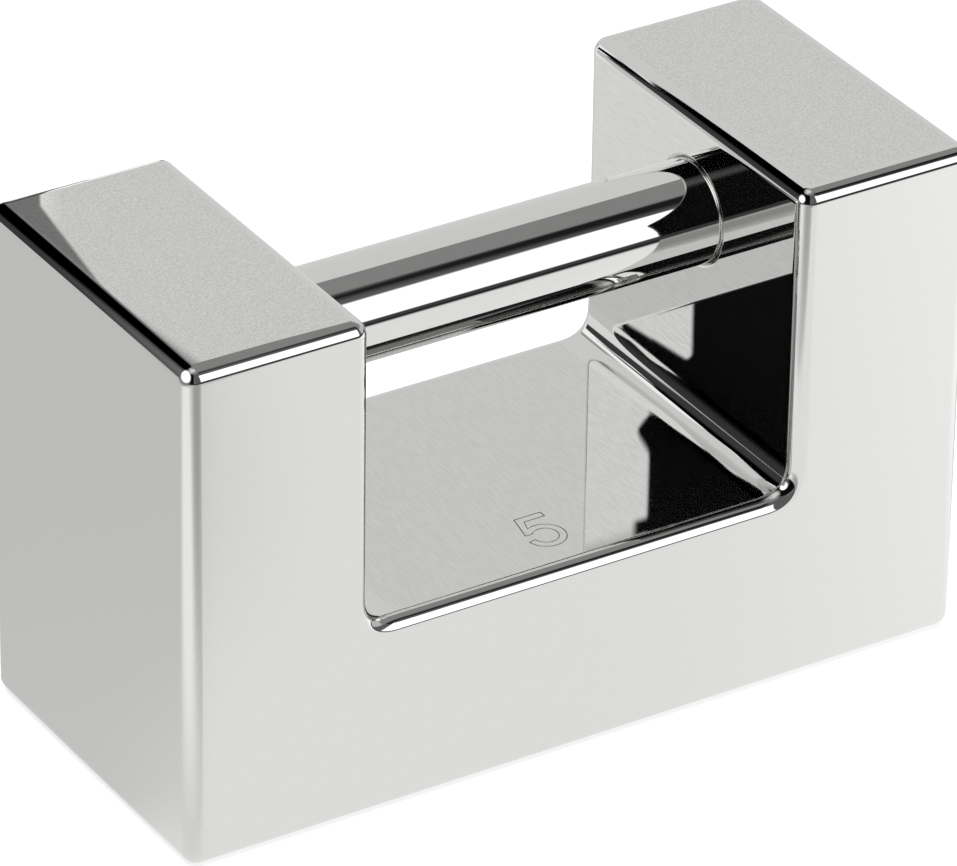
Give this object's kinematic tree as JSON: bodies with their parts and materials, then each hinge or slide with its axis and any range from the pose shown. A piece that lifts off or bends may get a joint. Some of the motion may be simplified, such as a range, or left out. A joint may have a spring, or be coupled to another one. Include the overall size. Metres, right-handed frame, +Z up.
{
  "type": "calibration weight",
  "caption": "Polished stainless steel calibration weight: a rounded block with a deep notch between two equal pillars and a round lifting bar across it.",
  "frame": {"origin": "middle of the base's underside, on the surface that the weight stands on", "axes": "+X along the block from pillar to pillar, along the lifting bar; +Y across the block, away from the front face; +Z up"},
  "size_m": [0.15, 0.066, 0.093],
  "materials": {
    "polished_block": "stainless steel, mirror polished over a very fine brushed grain",
    "polished_bar": "stainless steel, turned and mirror polished"
  },
  "bodies": {
    "root": {"weight_block": "polished_block", "lifting_bar": "polished_bar"}
  },
  "joints": []
}
